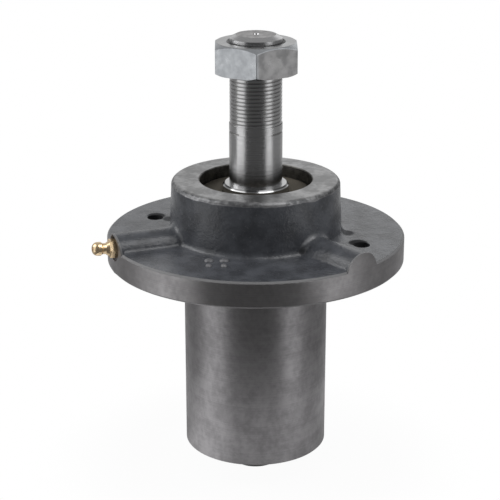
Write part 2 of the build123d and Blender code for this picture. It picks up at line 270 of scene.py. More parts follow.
class Effects:
    """Node groups that more than one finish uses, each built once."""

    WIDE_SHARE = 0.4
    SPECK_EDGE = (0.55, 0.75)

    @staticmethod
    def group(name: str, inputs: dict[str, float], outputs: list[str]) -> tuple[bpy.types.NodeTree, Graph]:
        """Starts a group with number sockets.

        Args:
            name: The group's name.
            inputs: Each input's name and its default.
            outputs: The outputs' names.

        Returns:
            The group and a graph on it.
        """
        tree = bpy.data.node_groups.new(name, "ShaderNodeTree")
        for label, value in inputs.items():
            socket = tree.interface.new_socket(label, in_out="INPUT", socket_type="NodeSocketFloat")
            socket.default_value = value
        for label in outputs:
            tree.interface.new_socket(label, in_out="OUTPUT", socket_type="NodeSocketFloat")
        return tree, Graph(tree)

    @classmethod
    def round_place(cls) -> bpy.types.NodeTree:
        """Measures a point's radius from the shaft's axis and its height, in millimetres.

        Returns:
            The group.
        """
        name = "Round place"
        if name in bpy.data.node_groups:
            return bpy.data.node_groups[name]
        tree, graph = cls.group(name, {}, ["Radius", "Height"])
        length = graph.add("ShaderNodeVectorMath", {0: graph.flat()}, operation="LENGTH").outputs["Value"]
        height = graph.add("ShaderNodeSeparateXYZ", {0: graph.place()}).outputs["Z"]
        values = {"Radius": graph.math("DIVIDE", length, MM), "Height": graph.math("DIVIDE", height, MM)}
        graph.add("NodeGroupOutput", values)
        return tree

    @classmethod
    def tool_marks(cls) -> bpy.types.NodeTree:
        """Makes the fine rings that a cutting tool leaves: wide ones and narrow ones on one measure.

        Returns:
            The group.
        """
        name = "Tool marks"
        if name in bpy.data.node_groups:
            return bpy.data.node_groups[name]
        tree, graph = cls.group(name, {"Place": 0.0, "Pitch": 0.4}, ["Rings"])
        entry = graph.add("NodeGroupInput")
        turn = graph.math("DIVIDE", entry.outputs["Place"], entry.outputs["Pitch"])
        fine = {"W": turn, "Scale": 1.0, "Detail": 2.0}
        broad = {"W": turn, "Scale": 0.13, "Detail": 1.0}
        narrow, wide = (
            graph.add("ShaderNodeTexNoise", values, noise_dimensions="1D") for values in (fine, broad)
        )
        rings = graph.between(cls.WIDE_SHARE, narrow.outputs[0], wide.outputs[0])
        graph.add("NodeGroupOutput", {"Rings": rings})
        return tree

    @classmethod
    def grain(cls) -> bpy.types.NodeTree:
        """Makes sandy grain and broad cloudy patches, sized in millimetres.

        Returns:
            The group.
        """
        name = "Grain"
        if name in bpy.data.node_groups:
            return bpy.data.node_groups[name]
        sizes = {"Grain size": 1.0, "Patch size": 14.0}
        tree, graph = cls.group(name, sizes, ["Grain", "Specks", "Patches"])
        entry = graph.add("NodeGroupInput")
        place = graph.place()
        fine = graph.math("DIVIDE", 1 / MM, entry.outputs["Grain size"])
        broad = graph.math("DIVIDE", 1 / MM, entry.outputs["Patch size"])
        sandy = {"Vector": place, "Scale": fine, "Detail": 4.0, "Roughness": 0.6}
        cloudy = {"Vector": place, "Scale": broad, "Detail": 3.0}
        grain, patch = (graph.add("ShaderNodeTexNoise", kind) for kind in (sandy, cloudy))
        specks = graph.step(grain.outputs[0], *cls.SPECK_EDGE)
        values = {"Grain": grain.outputs[0], "Specks": specks, "Patches": patch.outputs[0]}
        graph.add("NodeGroupOutput", values)
        return tree


@dataclass(frozen=True)
class MetalFinish:
    """One metal surface: its colour, its gloss, its grain and its turning rings, where it has a pitch."""

    name: str
    colour: Colour
    shade: Colour
    roughness: float
    metallic: float = 1.0
    grain: float = 0.8
    patch: float = 9.0
    bump: float = 0.05
    pitch: float | None = None
    ring_bump: float = 0.0
    grain_share: float = 0.35
    ring_share: float = 0.5
    dull_by: float = 0.06
    bright_by: float = 0.04

    def wear_and_shade(self, graph: Graph, colour: bpy.types.NodeSocket) -> bpy.types.NodeSocket:
        """Leaves the colour as it is: a finish that wears in places, or takes painted shade, says where."""
        return colour

    def material(self) -> bpy.types.Material:
        """Builds the finish's material.

        Returns:
            The material, made once for each name.
        """
        if self.name in bpy.data.materials:
            return bpy.data.materials[self.name]
        material = bpy.data.materials.new(self.name)
        material.use_nodes = True
        graph = Graph(material.node_tree)
        links = graph.tree.links
        shader = material.node_tree.nodes["Principled BSDF"].inputs
        shader["Metallic"].default_value = self.metallic
        grain = graph.effect(Effects.grain(), {"Grain size": self.grain, "Patch size": self.patch})
        tone = graph.between(self.grain_share, grain["Patches"], grain["Grain"])
        relief = graph.times(grain["Grain"], self.bump)
        if self.pitch is not None:
            height = graph.effect(Effects.round_place())["Height"]
            rings = graph.effect(Effects.tool_marks(), {"Place": height, "Pitch": self.pitch})["Rings"]
            tone = graph.between(self.ring_share, tone, rings)
            relief = graph.math("ADD", relief, graph.times(rings, self.ring_bump))
        spread = graph.step(tone, *CLOUD_SPREAD)
        colour = graph.two_tone(spread, self.shade, self.colour)
        links.new(self.wear_and_shade(graph, colour), shader["Base Color"])
        dull, bright = self.roughness + self.dull_by, self.roughness - self.bright_by
        links.new(graph.between(spread, dull, bright), shader["Roughness"])
        links.new(graph.bump(relief), shader["Normal"])
        return material


@dataclass(frozen=True)
class NutPlate(MetalFinish):
    """The nut's zinc plate: painted shade on its right flats and at the opening of its bore, and a duller
    turned face.
    """

    right_shade: Colour = (0.32, 0.315, 0.315)
    right_shade_dark: Colour = (0.20, 0.197, 0.197)
    right_shade_patch: float = 5.0
    right_shade_spread: Span = (0.36, 0.64)
    right_shade_share: float = 0.9
    right_from: Span = (-0.5, 2.0)
    faced: Colour = (0.42, 0.425, 0.43)
    mouth: Colour = (0.11, 0.11, 0.11)
    top: float = 105.9
    top_edge: Span = (-0.2, -0.05)
    chamfer_radius: float = 18.6
    chamfer_angle: float = 30.0
    chamfer_edge: Span = (-0.1, -0.5)
    mouth_radius: float = 14.0
    mouth_edge: Span = (0.0, -0.3)

    def wear_and_shade(self, graph: Graph, colour: bpy.types.NodeSocket) -> bpy.types.NodeSocket:
        """Paints shade on the flats on the right and at the opening of the bore, and tones down the turned
        face.

        Args:
            graph: The material's graph.
            colour: The plate's colour.

        Returns:
            The colour with its painted shade and its duller turned face.
        """
        place = graph.effect(Effects.round_place())
        radius, height = place["Radius"], place["Height"]
        slope = math.tan(math.radians(self.chamfer_angle))
        cone = graph.math("ADD", height, graph.times(radius, slope))
        below = graph.edge(cone, self.top + self.chamfer_radius * slope, self.chamfer_edge)
        across = graph.add("ShaderNodeSeparateXYZ", {0: graph.place()}).outputs["X"]
        right = graph.step(across, self.right_from[0] * MM, self.right_from[1] * MM)
        # Painted shade: mottled darker flats on the right (+X) side, below the chamfer
        patches = graph.effect(Effects.grain(), {"Patch size": self.right_shade_patch})["Patches"]
        cloud = graph.step(patches, *self.right_shade_spread)
        right_shade = graph.two_tone(cloud, self.right_shade_dark, self.right_shade)
        colour = graph.blend(graph.times(right, below, self.right_shade_share), colour, right_shade)
        colour = graph.blend(graph.edge(height, self.top, self.top_edge), colour, rgba(self.faced))
        # Painted shade: the countersink inside the opening's radius turns dark
        inside = graph.edge(radius, self.mouth_radius, self.mouth_edge)
        return graph.blend(inside, colour, rgba(self.mouth))


@dataclass(frozen=True)
class SleevePolish(MetalFinish):
    """The sleeve's polish, with painted shade on the inner half of its chamfer, which narrows the chamfer's
    highlight.
    """

    # Painted shade: the dark ring on the chamfer's inner half
    dull: Colour = (0.16, 0.16, 0.162)
    shaded_from: float = 14.8
    shaded_to: float = 15.45
    shaded_edge: float = 0.1

    def wear_and_shade(self, graph: Graph, colour: bpy.types.NodeSocket) -> bpy.types.NodeSocket:
        """Paints shade on a ring of the chamfer.

        Args:
            graph: The material's graph.
            colour: The polish's colour.

        Returns:
            The worn colour.
        """
        radius = graph.effect(Effects.round_place())["Radius"]
        inner = graph.edge(radius, self.shaded_from, (-self.shaded_edge, self.shaded_edge))
        outer = graph.edge(radius, self.shaded_to, (self.shaded_edge, -self.shaded_edge))
        return graph.blend(graph.times(inner, outer), colour, rgba(self.dull))


@dataclass(frozen=True)
class ShadeSpots:
    """Painted shade round two points of the casting."""

    places: tuple[Place, Place]
    reach: float
    share: float

    def mask(self, graph: Graph) -> Value:
        """Marks the painted shade."""
        spots = (graph.near(place, self.reach) for place in self.places)
        return graph.times(graph.math("ADD", *spots), self.share)


@dataclass(frozen=True)
class CastingFinish:
    """The housing's iron: sandy as-cast skin, with turned faces where the tool has been."""

    name: str = "cast_and_turned_iron"
    skin: Colour = (0.101, 0.107, 0.121)
    skin_shade: Colour = (0.054, 0.057, 0.065)
    skin_roughness: Span = (0.27, 0.17)
    skin_bump: float = 0.17
    speck: Colour = (0.155, 0.160, 0.172)
    speck_share: float = 0.55
    grain: float = 1.3
    blotch: float = 2.2
    patch: float = 9.0
    blotch_share: float = 0.4
    painted_shade: Colour = (0.012, 0.012, 0.013)
    painted_shade_roughness: float = 1.0
    # Painted shade: dark spots in the boss-to-hub corners, by the bolt holes and at the hub's foot
    corner_shade: ShadeSpots = ShadeSpots(((-35.4, -21.0, 13.8), (21.7, -34.5, 14.2)), 3.5, 0.65)
    hole_shade: ShadeSpots = ShadeSpots(((-49.8, 23.6, 12.7), (48.6, -17.6, 12.7)), 5.4, 0.9)
    foot_shade: ShadeSpots = ShadeSpots(((-42.2, 18.6, 12.7), (43.4, -3.0, 12.7)), 5.0, 0.55)
    turned: Colour = (0.36, 0.35, 0.36)
    turned_shade: Colour = (0.25, 0.243, 0.25)
    turned_roughness: Span = (0.43, 0.37)
    ring_pitch: float = 0.45
    ring_bump: float = 0.012
    streak_share: float = 0.75
    streak_spread: Span = (0.35, 0.65)
    under_edge: Span = (0.5, 0.1)
    rim: float = 71.9
    rim_edge: Span = (-0.14, -0.05)
    rim_tone: Colour = (0.40, 0.388, 0.396)
    rim_shade: Colour = (0.29, 0.282, 0.287)
    brim_edge: Span = (-1.1, -0.9)
    brim_tone: Colour = (0.21, 0.21, 0.214)
    brim_roughness: float = 0.5
    hub_top: float = 39.4
    hub_edge: Span = (-2.3, -1.38)
    hub_ragged: float = 2.4
    faced: Colour = (0.46, 0.46, 0.462)
    faced_shade: Colour = (0.27, 0.27, 0.272)
    faced_spread: Span = (0.4, 0.62)
    faced_roughness: float = 0.40
    round_edge: Span = (-0.1, -0.5)
    round_tone: Colour = (0.30, 0.30, 0.304)
    round_shade: Colour = (0.11, 0.112, 0.116)
    round_spread: Span = (0.42, 0.6)
    round_roughness: float = 0.52
    bore: float = 27.05
    bore_edge: Span = (0.7, 0.3)
    oily: Colour = (0.17, 0.165, 0.155)
    oily_shade: Colour = (0.05, 0.05, 0.047)
    seat: Place = (-65.2, -26.3, 12.9)
    seat_radius: float = 7.0
    seat_reflection: Colour = (0.20, 0.165, 0.14)
    boss_angle: float = 312.8
    boss_height: float = 10.3
    boss_radius: float = 9.525
    root_highlight: Colour = (0.34, 0.345, 0.36)
    root_share: float = 0.75
    root_inner: Span = (0.2, 1.0)
    root_outer: Span = (2.4, 1.2)
    root_side: Span = (2.0, -5.0)
    root_reach: Span = (45.5, 44.0)
    root_heights: Span = (16.5, 18.5)

    def boss_root_highlight(self, graph: Graph, radius: Value, height: Value) -> Value:
        """Marks the painted highlight on the upper left of the fillet where the blank boss runs into the
        hub.

        Args:
            graph: The material's graph.
            radius: Distance from the shaft's axis.
            height: Height over the flange's underside.

        Returns:
            The highlight's share, 0 outside the fillet.
        """
        turn = math.radians(self.boss_angle)
        place = graph.place()
        ahead = graph.along(place, (math.cos(turn), math.sin(turn), 0))
        aside = graph.math("DIVIDE", graph.along(place, (-math.sin(turn), math.cos(turn), 0)), MM)
        above = graph.math("SUBTRACT", height, self.boss_height)
        square = graph.math("ADD", graph.times(aside, aside), graph.times(above, above))
        gap = graph.math("SUBTRACT", graph.math("SQRT", square), self.boss_radius)
        fillet = graph.times(graph.step(gap, *self.root_inner), graph.step(gap, *self.root_outer))
        side = graph.times(graph.step(ahead, 0, MM), graph.step(aside, *self.root_side))
        level = graph.times(graph.step(radius, *self.root_reach), graph.step(height, *self.root_heights))
        return graph.times(fillet, side, level, self.root_share)

    def material(self) -> bpy.types.Material:
        """Builds the material, with each zone found from its radius and height.

        Returns:
            The housing's material.
        """
        material = bpy.data.materials.new(self.name)
        material.use_nodes = True
        graph = Graph(material.node_tree)
        links = graph.tree.links
        shader = material.node_tree.nodes["Principled BSDF"].inputs
        place = graph.effect(Effects.round_place())
        radius, height = place["Radius"], place["Height"]
        grain = graph.effect(Effects.grain(), {"Grain size": self.grain, "Patch size": self.patch})
        blotch = graph.effect(Effects.grain(), {"Grain size": self.blotch, "Patch size": self.patch})
        rings = graph.effect(Effects.tool_marks(), {"Place": height, "Pitch": self.ring_pitch})["Rings"]
        mottle = graph.between(self.blotch_share, blotch["Patches"], blotch["Grain"])
        streak = graph.step(graph.between(self.streak_share, rings, mottle), *self.streak_spread)

        # Zones: ragged hub top and its rounded edge, rim with the boss ends, brim, underside, bores, seat
        ragged = graph.math("ADD", graph.times(grain["Patches"], self.hub_ragged), -self.hub_ragged / 2)
        top = graph.edge(graph.math("ADD", height, ragged), self.hub_top, self.hub_edge)
        rounded = graph.edge(height, self.hub_top, self.round_edge)
        rim = graph.edge(radius, self.rim, self.rim_edge)
        brim = graph.edge(radius, self.rim, self.brim_edge)
        under = graph.step(height, *self.under_edge)
        bore = graph.edge(radius, self.bore, self.bore_edge)
        seat = graph.near(self.seat, self.seat_radius)
        turned = graph.most(top, rim, under, bore, seat)
        shade_spots = (self.corner_shade, self.hole_shade, self.foot_shade)
        painted_shade = graph.most(*(shade_spot.mask(graph) for shade_spot in shade_spots))

        # As-cast skin, rubbed on the brim, with a painted highlight on the boss's root and painted shade in
        # corners, by the bolt holes and at the hub's foot
        skin = graph.two_tone(graph.step(grain["Patches"], *CLOUD_SPREAD), self.skin_shade, self.skin)
        skin = graph.blend(graph.times(grain["Specks"], self.speck_share), skin, rgba(self.speck))
        skin = graph.blend(brim, skin, rgba(self.brim_tone))
        # Painted highlight: a lighter crescent on the blank boss's root fillet
        skin = graph.blend(self.boss_root_highlight(graph, radius, height), skin, rgba(self.root_highlight))
        skin = graph.blend(painted_shade, skin, rgba(self.painted_shade))

        # Turned faces: faint rings along the height on the sides, blotches on the hub top, oil in the bores
        metal = graph.two_tone(streak, self.turned_shade, self.turned)
        metal = graph.blend(rim, metal, graph.two_tone(streak, self.rim_shade, self.rim_tone))
        worn = graph.two_tone(graph.step(mottle, *self.faced_spread), self.faced_shade, self.faced)
        chips = graph.step(mottle, *self.round_spread)
        broken = graph.two_tone(chips, self.round_shade, self.round_tone)
        metal = graph.blend(top, metal, graph.blend(rounded, worn, broken))
        metal = graph.blend(bore, metal, graph.two_tone(streak, self.oily_shade, self.oily))
        # Painted reflection: a brownish tone on the fitting's seat stands in for the brass mirrored there
        metal = graph.blend(seat, metal, rgba(self.seat_reflection))
        links.new(graph.blend(turned, skin, metal), shader["Base Color"])
        links.new(turned, shader["Metallic"])

        # Gloss and relief
        matt = graph.between(graph.step(mottle, *self.streak_spread), *self.skin_roughness)
        matt = graph.between(painted_shade, graph.between(brim, matt, self.brim_roughness), self.painted_shade_roughness)
        gloss = graph.between(streak, *self.turned_roughness)
        hub_gloss = graph.between(rounded, self.faced_roughness, self.round_roughness)
        gloss = graph.between(top, gloss, hub_gloss)
        links.new(graph.between(turned, matt, gloss), shader["Roughness"])
        rough = graph.times(graph.math("ADD", grain["Grain"], blotch["Grain"]), self.skin_bump)
        relief = graph.between(turned, rough, graph.times(rings, self.ring_bump))
        links.new(graph.bump(relief), shader["Normal"])
        return material


GROUND_STEEL = MetalFinish(
    "ground_steel",
    (0.60, 0.60, 0.605),
    (0.52, 0.52, 0.526),
    0.22,
    grain=3.0,
    patch=12.0,
    bump=0.004,
    pitch=0.3,
    ring_bump=0.08,
)
POLISHED_STEEL = SleevePolish(
    "polished_steel", (0.56, 0.56, 0.565), (0.48, 0.48, 0.485), 0.15, patch=5.0, bump=0.005
)
ZINC_PLATE = NutPlate(
    "zinc_plate", (0.56, 0.582, 0.605), (0.44, 0.458, 0.48), 0.30, grain=1.4, patch=4.0, bump=0.04
)
RUBBED_IRON = MetalFinish(
    "rubbed_iron", (0.24, 0.24, 0.25), (0.16, 0.16, 0.17), 0.45, metallic=0.3, grain=0.6, patch=3.0
)
# Painted shade for the thread's roots and shoulder and the groove's sides
CREASE_SHADE = MetalFinish(
    "crease_shade", (0.36, 0.357, 0.352), (0.28, 0.278, 0.274), 0.36, grain=0.6, bump=0.01
)
SAWN_STEEL = MetalFinish(
    "sawn_steel", (0.42, 0.414, 0.414), (0.25, 0.247, 0.247), 0.40, grain=0.7, patch=3.0, bump=0.06
)
BEARING_STEEL = MetalFinish(
    "bearing_steel", (0.60, 0.60, 0.60), (0.52, 0.52, 0.52), 0.18, bump=0.01, pitch=0.2, ring_bump=0.01
)
CAGE_STEEL = MetalFinish("cage_steel", (0.42, 0.42, 0.43), (0.33, 0.33, 0.34), 0.34, bump=0.03)
CASE_STEEL = MetalFinish("seal_case_steel", (0.38, 0.38, 0.37), (0.28, 0.28, 0.28), 0.38, bump=0.03)
SPRING_STEEL = MetalFinish("spring_wire", (0.50, 0.50, 0.50), (0.40, 0.40, 0.40), 0.3, grain=0.4, bump=0.02)
YELLOW_PLATE = MetalFinish(
    "yellow_plate",
    (0.97, 0.76, 0.50),
    (0.84, 0.63, 0.38),
    0.22,
    metallic=0.8,
    grain=0.5,
    patch=3.0,
    bump=0.02,
)
SEAL_RUBBER = MetalFinish(
    "seal_rubber", (0.125, 0.116, 0.100), (0.055, 0.052, 0.045), 0.45, metallic=0.0, grain=0.5, bump=0.06
)


class Bench:
    """Hand tools: starts a mesh, edits it and puts its place into its points."""

    @staticmethod
    def clear() -> None:
        """Leaves edit mode and deselects everything."""
        if bpy.context.object is not None and bpy.context.object.mode != "OBJECT":
            bpy.ops.object.mode_set(mode="OBJECT")
        bpy.ops.object.select_all(action="DESELECT")

    @staticmethod
    def edit() -> None:
        """Opens the active piece for editing, with all of it selected."""
        bpy.ops.object.mode_set(mode="EDIT")
        bpy.ops.mesh.select_all(action="SELECT")

    @staticmethod
    def close() -> None:
        """Turns the edited skin outward and leaves edit mode."""
        bpy.ops.mesh.select_all(action="SELECT")
        bpy.ops.mesh.normals_make_consistent(inside=False)
        bpy.ops.object.mode_set(mode="OBJECT")

    @classmethod
    def lathe(cls, name: str, profile: Profile, sides: int) -> bpy.types.Object:
        """Turns a closed body from rings, one extrusion for each step of the profile.

        Args:
            name: The object's name.
            profile: Radius and height of each ring, from one end of the skin to the other.
            sides: Number of facets round.

        Returns:
            The body.
        """
        cls.clear()
        radius, height = profile[0]
        bpy.ops.mesh.primitive_circle_add(
            vertices=sides, radius=radius * MM, fill_type="NGON", location=(0, 0, height * MM)
        )
        body = bpy.context.object
        body.name = name
        bpy.ops.object.transform_apply(location=True, rotation=True, scale=True)
        cls.edit()
        for next_radius, next_height in profile[1:]:
            rise = (next_height - height) * MM
            bpy.ops.mesh.extrude_region_move(TRANSFORM_OT_translate={"value": (0, 0, rise)})
            scale = next_radius / radius
            centre = (0, 0, next_height * MM)
            bpy.ops.transform.resize(value=(scale, scale, 1), center_override=centre)
            radius, height = next_radius, next_height
        cls.close()
        return body

    @classmethod
    def wind(cls, section: bpy.types.Object, pitch: float, turns: int, steps: int) -> None:
        """Winds the active piece, a closed line of edges, up the Z axis and caps both ends.

        Args:
            section: The piece.
            pitch: Rise of one turn.
            turns: Number of turns.
            steps: Number of facets in a turn.
        """
        sides = len(section.data.vertices)
        screw = section.modifiers.new("wind", "SCREW")
        screw.axis = "Z"
        screw.angle = math.tau
        screw.screw_offset = pitch * MM
        screw.iterations = turns
        screw.steps = screw.render_steps = steps
        screw.use_smooth_shade = False
        bpy.ops.object.modifier_apply(modifier=screw.name)
        cls.edit()
        bpy.ops.mesh.fill_holes(sides=sides)
        cls.close()

    @classmethod
    def join(cls, pieces: list[bpy.types.Object]) -> bpy.types.Object:
        """Joins pieces into the first one.

        Args:
            pieces: The pieces.

        Returns:
            The joined piece.
        """
        cls.clear()
        for piece in pieces:
            piece.select_set(True)
        bpy.context.view_layer.objects.active = pieces[0]
        bpy.ops.object.join()
        return pieces[0]

    @classmethod
    def smooth(cls, piece: bpy.types.Object, angle: float) -> None:
        """Shades a piece smooth up to an edge angle.

        Args:
            piece: The piece.
            angle: The sharpest edge that is still smooth, in degrees.
        """
        cls.clear()
        piece.select_set(True)
        bpy.context.view_layer.objects.active = piece
        bpy.ops.object.shade_smooth_by_angle(angle=math.radians(angle))

    @staticmethod
    def dress(piece: bpy.types.Object, *finishes: MetalFinish | CastingFinish) -> None:
        """Gives a piece its materials, the first of them all over.

        Args:
            piece: The piece.
            finishes: Its finishes.
        """
        piece.data.materials.clear()
        for finish in finishes:
            piece.data.materials.append(finish.material())


@dataclass
class Housing:
    """The casting, with four small foundry pips on its flange."""

    nodes: dict[str, bpy.types.Object]
    pip_columns: tuple[float, ...] = (-21.4, -14.4)
    pip_rows: tuple[float, ...] = (-43.6, -50.6)
    pip_sizes: tuple[Place, ...] = ((4.4, 4.2, 2.2), (2.9, 3.6, 2.2))
    pip_facets: int = 32
    pip_sink: float = 0.3
    flange_top: float = 12.7
    smooth_angle: float = 40.0

    def pip(self, place: Place, size: Place) -> bpy.types.Object:
        """Models one pip as a low dome, cut flat just under the flange's top.

        Args:
            place: The middle of the dome.
            size: Width, depth and height of the whole ball that the dome is cut from.

        Returns:
            The pip.
        """
        Bench.clear()
        facets = self.pip_facets
        bpy.ops.mesh.primitive_uv_sphere_add(
            segments=facets, ring_count=facets // 2, radius=0.5, location=(0, 0, 0)
        )
        pip = bpy.context.object
        pip.scale = Vector(size) * MM
        pip.location = Vector(place) * MM
        bpy.ops.object.transform_apply(location=True, rotation=True, scale=True)
        Bench.edit()
        foot = (0, 0, (self.flange_top - self.pip_sink) * MM)
        bpy.ops.mesh.bisect(plane_co=foot, plane_no=(0, 0, 1), use_fill=True, clear_inner=True)
        bpy.ops.object.mode_set(mode="OBJECT")
        return pip

    def pips(self) -> bpy.types.Object:
        """Sets the pips out two by two.

        Returns:
            One piece that holds all four pips.
        """
        made = []
        for across in self.pip_columns:
            for along, size in zip(self.pip_rows, self.pip_sizes):
                made.append(self.pip((across, along, self.flange_top), size))
        piece = Bench.join(made)
        piece.name = "foundry_pips"
        Bench.smooth(piece, self.smooth_angle)
        Bench.dress(piece, RUBBED_IRON)
        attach(piece, "housing")
        return piece

    def build(self) -> None:
        """Dresses the casting and adds its pips."""
        Bench.dress(self.nodes["spindle_housing"], CastingFinish())
        piece = self.pips()
        log.info("spindle_housing dressed, %s added", piece.name)


class ShaftZone(IntEnum):
    """The places of the shaft's materials in its list."""

    GROUND = 0
    SAWN = 1
    DIRTY = 2


@dataclass
class Shaft:
    """The shaft with its cut thread, its nut, its sleeve and its spacer."""

    nodes: dict[str, bpy.types.Object]
    radius: float = 12.7
    top: float = 109.2
    bottom: float = -109.0
    end_chamfer: float = 1.4
    cone_width: float = 3.0
    cone_depth: float = 1.53
    sawn_share: float = 0.25
    collar_radius: float = 15.875
    collar_top: float = -87.75
    collar_bottom: float = -99.55
    collar_chamfer: float = 0.8
    hole_radius: float = 7.35
    hole_depth: float = 38.0
    hole_point: float = 4.42
    centre_radius: float = 1.6
    centre_depth: float = 2.77
    groove_top: float = 63.7
    groove_width: float = 0.9
    groove_depth: float = 0.35
    groove_shade_from: float = 8.0
    thread_start: float = 67.0
    thread_end: float = 105.0
    thread_steps: int = 96
    crest_radius: float = 12.43
    root_radius: float = 12.1
    crest_half: float = 0.54
    foot_half: float = 0.78
    foot_sink: float = 0.2
    shoulder: float = 0.05
    end_step: float = 0.1
    pitch: float = 1.814
    end_radius: float = 12.45
    sides: int = 128
    tip_radius: float = 0.02
    smooth_angle: float = 25.0

    def body(self) -> bpy.types.Object:
        """Turns the shaft from its blade-bolt hole, round the outside, to the centre drilling in its top.

        Returns:
            The shaft without its thread's ridge.
        """
        hole_top = self.bottom + self.hole_depth
        return Bench.lathe(
            "spindle_shaft_turned",
            [
                (self.tip_radius, hole_top + self.hole_point),
                (self.hole_radius, hole_top),
                (self.hole_radius, self.bottom),
                (self.radius - self.end_chamfer, self.bottom),
                (self.radius, self.bottom + self.end_chamfer),
                (self.radius, self.collar_bottom),
                (self.collar_radius - self.collar_chamfer, self.collar_bottom),
                (self.collar_radius, self.collar_bottom + self.collar_chamfer),
                (self.collar_radius, self.collar_top),
                (self.radius, self.collar_top),
                (self.radius, self.groove_top - self.groove_width),
                (self.radius - self.groove_depth, self.groove_top - self.groove_width),
                (self.radius - self.groove_depth, self.groove_top),
                (self.radius, self.groove_top),
                (self.radius, self.thread_start),
                (self.root_radius, self.thread_start + self.shoulder),
                (self.root_radius, self.thread_end),
                (self.end_radius, self.thread_end + self.end_step),
                (self.end_radius, self.top - self.cone_depth),
                (self.end_radius - self.cone_width, self.top),
                (self.centre_radius, self.top),
                (self.tip_radius, self.top - self.centre_depth),
            ],
            self.sides,
        )

    def thread(self) -> bpy.types.Object:
        """Winds the thread's ridge: a tapered section swept up the shaft, with its foot sunk in the core.

        Returns:
            The ridge.
        """
        Bench.clear()
        bpy.ops.mesh.primitive_plane_add(size=2.0, location=(0, 0, 0))
        ridge = bpy.context.object
        ridge.name = "thread_ridge"
        start = self.thread_start - self.pitch / 2
        foot = self.root_radius - self.foot_sink
        for point in ridge.data.vertices:
            half = self.foot_half if point.co.x < 0 else self.crest_half
            reach = foot if point.co.x < 0 else self.crest_radius
            point.co = Vector((reach, 0, start + math.copysign(half, point.co.y))) * MM
        Bench.edit()
        bpy.ops.mesh.delete(type="ONLY_FACE")
        bpy.ops.object.mode_set(mode="OBJECT")
        turns = math.floor((self.thread_end - start) / self.pitch)
        Bench.wind(ridge, self.pitch, turns, self.thread_steps)
        return ridge

    def zone(self, centre: Vector) -> ShaftZone:
        """Picks a face's material.

        Args:
            centre: The face's centre.

        Returns:
            The material's place in the shaft's list.
        """
        reach = math.hypot(centre.x, centre.y)
        if centre.z > self.top - self.sawn_share * self.cone_depth:
            return ShaftZone.SAWN
        inside = reach < self.radius - self.shoulder
        in_shoulder = inside and abs(centre.z - self.thread_start) < 2 * self.shoulder
        in_groove = inside and 0 < self.groove_top - centre.z < self.groove_width
        at_root = reach < self.root_radius + self.shoulder
        in_thread = at_root and self.thread_start < centre.z < self.thread_end
        # Painted shade: the thread's roots, its shoulder and the groove away from the axis in X take the
        # darker steel
        in_shade = in_groove and abs(centre.x) > self.groove_shade_from
        return ShaftZone.DIRTY if in_thread or in_shoulder or in_shade else ShaftZone.GROUND

    def build(self) -> None:
        """Builds the threaded shaft and dresses what turns with it."""
        piece = Bench.join([self.body(), self.thread()])
        Bench.smooth(piece, self.smooth_angle)
        Bench.dress(piece, GROUND_STEEL, SAWN_STEEL, CREASE_SHADE)
        for face in piece.data.polygons:
            face.material_index = self.zone(face.center / MM)
        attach(piece, "shaft")
        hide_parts("spindle_shaft")
        Bench.dress(self.nodes["spindle_nut"], ZINC_PLATE)
        Bench.dress(self.nodes["upper_seal_sleeve"], POLISHED_STEEL)
        Bench.dress(self.nodes["bearing_spacer"], GROUND_STEEL)
        log.info("%s built, nut, sleeve and spacer dressed", piece.name)


@dataclass
class BearingEnd:
    """One end's taper roller bearing and lip seal."""

    nodes: dict[str, bpy.types.Object]
    end: str

    def build(self) -> None:
        """Dresses the bearing's and the seal's pieces."""
        finishes = {
            "bearing_cup": BEARING_STEEL,
            "bearing_cone": BEARING_STEEL,
            "bearing_rollers": BEARING_STEEL,
            "bearing_cage": CAGE_STEEL,
            "seal_case": CASE_STEEL,
            "seal_lip": SEAL_RUBBER,
            "seal_spring": SPRING_STEEL,
        }
        for name, finish in finishes.items():
            Bench.dress(self.nodes[f"{self.end}_{name}"], finish)
        log.info("%s bearing and seal dressed", self.end)


@dataclass
class GreaseFitting:
    """The fitting with its ball, and a spring.

    The ball's travel comes from the joint and is in metres; it is not used.
    """

    nodes: dict[str, bpy.types.Object]
    inward: Vector
    travel: float
    wire_radius: float = 0.17
    wire_sides: int = 12
    coil_radius: float = 0.85
    coil_steps: int = 32
    turns: int = 4
    length: float = 5.62
    coil_reach: float = 1.05
    smooth_angle: float = 50.0

    def spring(self) -> bpy.types.Object:
        """Winds the spring along the fitting's axis, from its seat to the ball.

        Returns:
            The spring.
        """
        low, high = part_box("grease_fitting_ball")
        ball = (Vector(low) + Vector(high)) / 2
        seat = ball + self.inward * (self.coil_reach + self.length) * MM
        Bench.clear()
        bpy.ops.mesh.primitive_circle_add(
            vertices=self.wire_sides,
            radius=self.wire_radius * MM,
            location=(self.coil_radius * MM, 0, 0),
            rotation=(math.pi / 2, 0, 0),
        )
        coil = bpy.context.object
        coil.name = "check_valve_spring"
        bpy.ops.object.transform_apply(location=True, rotation=True, scale=True)
        Bench.wind(coil, self.length / self.turns, self.turns, self.coil_steps)
        coil.rotation_euler = (-self.inward).to_track_quat("Z", "Y").to_euler()
        coil.location = seat
        bpy.ops.object.transform_apply(location=True, rotation=True, scale=True)
        Bench.smooth(coil, self.smooth_angle)
        Bench.dress(coil, SPRING_STEEL)
        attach(coil, "housing")
        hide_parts("grease_fitting_spring")
        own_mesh(coil)
        return coil

    def build(self) -> None:
        """Dresses the fitting and its ball and winds the spring."""
        Bench.dress(self.nodes["grease_fitting_body"], YELLOW_PLATE)
        Bench.dress(self.nodes["grease_fitting_ball"], BEARING_STEEL)
        piece = self.spring()
        log.info("grease fitting dressed, %s wound", piece.name)


